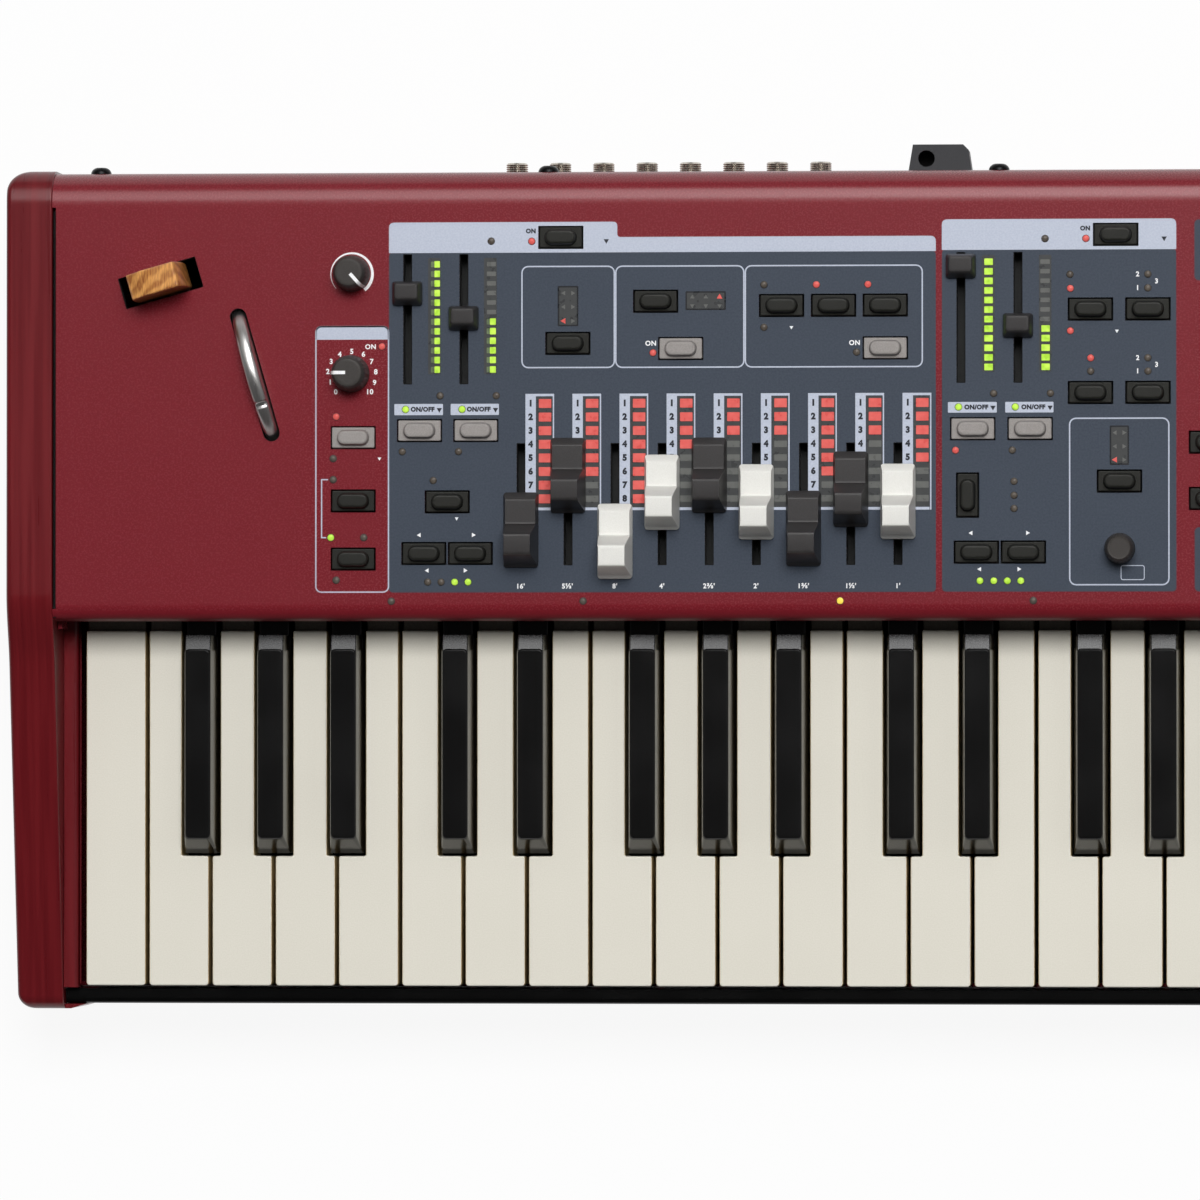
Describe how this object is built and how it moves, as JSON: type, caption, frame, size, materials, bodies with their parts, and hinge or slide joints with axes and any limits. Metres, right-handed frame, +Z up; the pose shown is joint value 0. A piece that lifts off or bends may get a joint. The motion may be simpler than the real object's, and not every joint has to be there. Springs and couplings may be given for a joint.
{
  "type": "stage keyboard",
  "caption": "Stage keyboard with wooden cheeks, drawbars, faders, knobs, pitch stick and modulation wheel on a sheet metal panel above sprung piano keys.",
  "frame": {"origin": "middle of the footprint, on the surface the feet stand on", "axes": "+X to the player's right along the keys, +Y to the rear, +Z up"},
  "size_m": [1.06, 0.3186, 0.12],
  "materials": {
    "panel_red": "red powder coat, fine texture",
    "pan_red": "red powder coat",
    "cheek_red": "red stained and lacquered wood",
    "slip_black": "satin black",
    "key_ivory": "satin ivory",
    "key_black": "gloss black",
    "plated_steel": "zinc plated",
    "circuit_board": "glass fibre laminate",
    "anchor_black": "moulded black",
    "foot_rubber": "matt black rubber",
    "cap_white": "white moulding",
    "cap_dark": "dark moulding",
    "knob_dark": "soft dark moulding",
    "button_dark": "dark silicone",
    "button_grey": "grey silicone",
    "stick_wood": "oiled light wood",
    "wheel_metal": "satin turned metal"
  },
  "bodies": {
    "chassis": {"base_pan": "pan_red", "top_panel": "panel_red", "left_cheek": "cheek_red", "right_cheek": "cheek_red", "key_slip": "slip_black", "key_frame": "plated_steel", "control_board": "circuit_board", "jack_board": "circuit_board", "power_unit": "plated_steel", "cable_anchor": "anchor_black", "foot_front_left": "foot_rubber", "foot_front_right": "foot_rubber", "foot_rear_left": "foot_rubber", "foot_rear_right": "foot_rubber", "stick_bracket": "plated_steel", "wheel_bracket": "plated_steel"},
    "white_key_1": {"white_key_1": "key_ivory"},
    "white_key_2": {"white_key_2": "key_ivory"},
    "white_key_3": {"white_key_3": "key_ivory"},
    "white_key_4": {"white_key_4": "key_ivory"},
    "white_key_5": {"white_key_5": "key_ivory"},
    "white_key_6": {"white_key_6": "key_ivory"},
    "white_key_7": {"white_key_7": "key_ivory"},
    "black_key_1": {"black_key_1": "key_black"},
    "black_key_2": {"black_key_2": "key_black"},
    "black_key_3": {"black_key_3": "key_black"},
    "black_key_4": {"black_key_4": "key_black"},
    "black_key_5": {"black_key_5": "key_black"},
    "white_keys_upper": {"white_keys_upper": "key_ivory"},
    "black_keys_upper": {"black_keys_upper": "key_black"},
    "drawbar_1": {"drawbar_1": "cap_dark"},
    "drawbar_2": {"drawbar_2": "cap_dark"},
    "drawbar_3": {"drawbar_3": "cap_white"},
    "drawbar_4": {"drawbar_4": "cap_white"},
    "drawbar_5": {"drawbar_5": "cap_dark"},
    "drawbar_6": {"drawbar_6": "cap_white"},
    "drawbar_7": {"drawbar_7": "cap_dark"},
    "drawbar_8": {"drawbar_8": "cap_dark"},
    "drawbar_9": {"drawbar_9": "cap_white"},
    "organ_fader_a": {"organ_fader_a": "cap_dark"},
    "organ_fader_b": {"organ_fader_b": "cap_dark"},
    "piano_fader_a": {"piano_fader_a": "cap_dark"},
    "piano_fader_b": {"piano_fader_b": "cap_dark"},
    "synth_fader_a": {"synth_fader_a": "cap_dark"},
    "synth_fader_b": {"synth_fader_b": "cap_dark"},
    "synth_fader_c": {"synth_fader_c": "cap_dark"},
    "master_level_knob": {"master_level_knob": "knob_dark"},
    "drive_knob": {"drive_knob": "knob_dark"},
    "model_dial": {"model_dial": "knob_dark"},
    "program_dial": {"program_dial": "knob_dark"},
    "filter_knob": {"filter_knob": "knob_dark"},
    "reverb_knob": {"reverb_knob": "knob_dark"},
    "rotary_keymat": {"rotary_keymat": "button_dark"},
    "organ_keymat": {"organ_keymat": "button_dark"},
    "piano_keymat": {"piano_keymat": "button_dark"},
    "program_keymat": {"program_keymat": "button_dark"},
    "synth_keymat": {"synth_keymat": "button_grey"},
    "effects_keymat": {"effects_keymat": "button_dark"},
    "pitch_stick": {"pitch_stick": "stick_wood"},
    "mod_wheel": {"mod_wheel": "wheel_metal"}
  },
  "joints": [
    {"name": "white_key_1_press", "type": "hinge", "parent": "chassis", "child": "white_key_1", "pos_m": [0, 0.02005, 0.052], "axis": [1, 0, 0], "range_deg": [0, 3.3], "stiffness_Nm_per_rad": 0.8, "springref_deg": -6.88},
    {"name": "white_key_2_press", "type": "hinge", "parent": "chassis", "child": "white_key_2", "pos_m": [0, 0.02005, 0.052], "axis": [1, 0, 0], "range_deg": [0, 3.3], "stiffness_Nm_per_rad": 0.8, "springref_deg": -6.88},
    {"name": "white_key_3_press", "type": "hinge", "parent": "chassis", "child": "white_key_3", "pos_m": [0, 0.02005, 0.052], "axis": [1, 0, 0], "range_deg": [0, 3.3], "stiffness_Nm_per_rad": 0.8, "springref_deg": -6.88},
    {"name": "white_key_4_press", "type": "hinge", "parent": "chassis", "child": "white_key_4", "pos_m": [0, 0.02005, 0.052], "axis": [1, 0, 0], "range_deg": [0, 3.3], "stiffness_Nm_per_rad": 0.8, "springref_deg": -6.88},
    {"name": "white_key_5_press", "type": "hinge", "parent": "chassis", "child": "white_key_5", "pos_m": [0, 0.02005, 0.052], "axis": [1, 0, 0], "range_deg": [0, 3.3], "stiffness_Nm_per_rad": 0.8, "springref_deg": -6.88},
    {"name": "white_key_6_press", "type": "hinge", "parent": "chassis", "child": "white_key_6", "pos_m": [0, 0.02005, 0.052], "axis": [1, 0, 0], "range_deg": [0, 3.3], "stiffness_Nm_per_rad": 0.8, "springref_deg": -6.88},
    {"name": "white_key_7_press", "type": "hinge", "parent": "chassis", "child": "white_key_7", "pos_m": [0, 0.02005, 0.052], "axis": [1, 0, 0], "range_deg": [0, 3.3], "stiffness_Nm_per_rad": 0.8, "springref_deg": -6.88},
    {"name": "black_key_1_press", "type": "hinge", "parent": "chassis", "child": "black_key_1", "pos_m": [0, 0.02005, 0.052], "axis": [1, 0, 0], "range_deg": [0, 3.3], "stiffness_Nm_per_rad": 0.8, "springref_deg": -6.88},
    {"name": "black_key_2_press", "type": "hinge", "parent": "chassis", "child": "black_key_2", "pos_m": [0, 0.02005, 0.052], "axis": [1, 0, 0], "range_deg": [0, 3.3], "stiffness_Nm_per_rad": 0.8, "springref_deg": -6.88},
    {"name": "black_key_3_press", "type": "hinge", "parent": "chassis", "child": "black_key_3", "pos_m": [0, 0.02005, 0.052], "axis": [1, 0, 0], "range_deg": [0, 3.3], "stiffness_Nm_per_rad": 0.8, "springref_deg": -6.88},
    {"name": "black_key_4_press", "type": "hinge", "parent": "chassis", "child": "black_key_4", "pos_m": [0, 0.02005, 0.052], "axis": [1, 0, 0], "range_deg": [0, 3.3], "stiffness_Nm_per_rad": 0.8, "springref_deg": -6.88},
    {"name": "black_key_5_press", "type": "hinge", "parent": "chassis", "child": "black_key_5", "pos_m": [0, 0.02005, 0.052], "axis": [1, 0, 0], "range_deg": [0, 3.3], "stiffness_Nm_per_rad": 0.8, "springref_deg": -6.88},
    {"name": "white_keys_upper_press", "type": "hinge", "parent": "chassis", "child": "white_keys_upper", "pos_m": [0, 0.02005, 0.052], "axis": [1, 0, 0], "range_deg": [0, 3.3], "stiffness_Nm_per_rad": 28.8, "springref_deg": -6.88},
    {"name": "black_keys_upper_press", "type": "hinge", "parent": "chassis", "child": "black_keys_upper", "pos_m": [0, 0.02005, 0.052], "axis": [1, 0, 0], "range_deg": [0, 3.3], "stiffness_Nm_per_rad": 20, "springref_deg": -6.88},
    {"name": "drawbar_1_slide", "type": "slide", "parent": "chassis", "child": "drawbar_1", "axis": [0, 1, 0], "range_m": [-0.0076, 0.0264]},
    {"name": "drawbar_2_slide", "type": "slide", "parent": "chassis", "child": "drawbar_2", "axis": [0, 1, 0], "range_m": [-0.0275, 0.0065]},
    {"name": "drawbar_3_slide", "type": "slide", "parent": "chassis", "child": "drawbar_3", "axis": [0, 1, 0], "range_m": [-0.0034, 0.0306]},
    {"name": "drawbar_4_slide", "type": "slide", "parent": "chassis", "child": "drawbar_4", "axis": [0, 1, 0], "range_m": [-0.0213, 0.0127]},
    {"name": "drawbar_5_slide", "type": "slide", "parent": "chassis", "child": "drawbar_5", "axis": [0, 1, 0], "range_m": [-0.0275, 0.0065]},
    {"name": "drawbar_6_slide", "type": "slide", "parent": "chassis", "child": "drawbar_6", "axis": [0, 1, 0], "range_m": [-0.0177, 0.0163]},
    {"name": "drawbar_7_slide", "type": "slide", "parent": "chassis", "child": "drawbar_7", "axis": [0, 1, 0], "range_m": [-0.008, 0.026]},
    {"name": "drawbar_8_slide", "type": "slide", "parent": "chassis", "child": "drawbar_8", "axis": [0, 1, 0], "range_m": [-0.0223, 0.0117]},
    {"name": "drawbar_9_slide", "type": "slide", "parent": "chassis", "child": "drawbar_9", "axis": [0, 1, 0], "range_m": [-0.0178, 0.0162]},
    {"name": "organ_fader_a_slide", "type": "slide", "parent": "chassis", "child": "organ_fader_a", "axis": [0, 1, 0], "range_m": [-0.0309, 0.0121]},
    {"name": "organ_fader_b_slide", "type": "slide", "parent": "chassis", "child": "organ_fader_b", "axis": [0, 1, 0], "range_m": [-0.0218, 0.0212]},
    {"name": "piano_fader_a_slide", "type": "slide", "parent": "chassis", "child": "piano_fader_a", "axis": [0, 1, 0], "range_m": [-0.0402, 0.0028]},
    {"name": "piano_fader_b_slide", "type": "slide", "parent": "chassis", "child": "piano_fader_b", "axis": [0, 1, 0], "range_m": [-0.0185, 0.0245]},
    {"name": "synth_fader_a_slide", "type": "slide", "parent": "chassis", "child": "synth_fader_a", "axis": [0, 1, 0], "range_m": [-0.0335, 0.0095]},
    {"name": "synth_fader_b_slide", "type": "slide", "parent": "chassis", "child": "synth_fader_b", "axis": [0, 1, 0], "range_m": [-0.0255, 0.0175]},
    {"name": "synth_fader_c_slide", "type": "slide", "parent": "chassis", "child": "synth_fader_c", "axis": [0, 1, 0], "range_m": [-0.0155, 0.0275]},
    {"name": "master_level_knob_turn", "type": "hinge", "parent": "chassis", "child": "master_level_knob", "pos_m": [-0.4021, 0.111, 0.098], "axis": [0, 0, -1], "range_deg": [-295, 5]},
    {"name": "drive_knob_turn", "type": "hinge", "parent": "chassis", "child": "drive_knob", "pos_m": [-0.4025, 0.0743, 0.098], "axis": [0, 0, -1], "range_deg": [-60, 240]},
    {"name": "model_dial_turn", "type": "hinge", "parent": "chassis", "child": "model_dial", "pos_m": [-0.1212, 0.0099, 0.098], "axis": [0, 0, -1], "continuous": true},
    {"name": "program_dial_turn", "type": "hinge", "parent": "chassis", "child": "program_dial", "pos_m": [-0.0378, 0.009, 0.098], "axis": [0, 0, -1], "continuous": true},
    {"name": "filter_knob_turn", "type": "hinge", "parent": "chassis", "child": "filter_knob", "pos_m": [0.19, 0.084, 0.098], "axis": [0, 0, -1], "range_deg": [-150, 150]},
    {"name": "reverb_knob_turn", "type": "hinge", "parent": "chassis", "child": "reverb_knob", "pos_m": [0.49, 0.11, 0.098], "axis": [0, 0, -1], "range_deg": [-150, 150]},
    {"name": "rotary_keymat_press", "type": "slide", "parent": "chassis", "child": "rotary_keymat", "axis": [0, 0, -1], "range_m": [0, 0.0008], "stiffness_N_per_m": 800, "springref_m": -0.002},
    {"name": "organ_keymat_press", "type": "slide", "parent": "chassis", "child": "organ_keymat", "axis": [0, 0, -1], "range_m": [0, 0.0008], "stiffness_N_per_m": 800, "springref_m": -0.002},
    {"name": "piano_keymat_press", "type": "slide", "parent": "chassis", "child": "piano_keymat", "axis": [0, 0, -1], "range_m": [0, 0.0008], "stiffness_N_per_m": 800, "springref_m": -0.002},
    {"name": "program_keymat_press", "type": "slide", "parent": "chassis", "child": "program_keymat", "axis": [0, 0, -1], "range_m": [0, 0.0008], "stiffness_N_per_m": 800, "springref_m": -0.002},
    {"name": "synth_keymat_press", "type": "slide", "parent": "chassis", "child": "synth_keymat", "axis": [0, 0, -1], "range_m": [0, 0.0008], "stiffness_N_per_m": 800, "springref_m": -0.002},
    {"name": "effects_keymat_press", "type": "slide", "parent": "chassis", "child": "effects_keymat", "axis": [0, 0, -1], "range_m": [0, 0.0008], "stiffness_N_per_m": 800, "springref_m": -0.002},
    {"name": "pitch_stick_bend", "type": "hinge", "parent": "chassis", "child": "pitch_stick", "pos_m": [-0.4728, 0.1079, 0.072], "axis": [-0.2756, 0.9613, 0], "range_deg": [-8, 8], "stiffness_Nm_per_rad": 0.5},
    {"name": "mod_wheel_turn", "type": "hinge", "parent": "chassis", "child": "mod_wheel", "pos_m": [-0.438, 0.074, 0.0787], "axis": [-0.9613, -0.2756, 0], "range_deg": [-20, 60]}
  ]
}
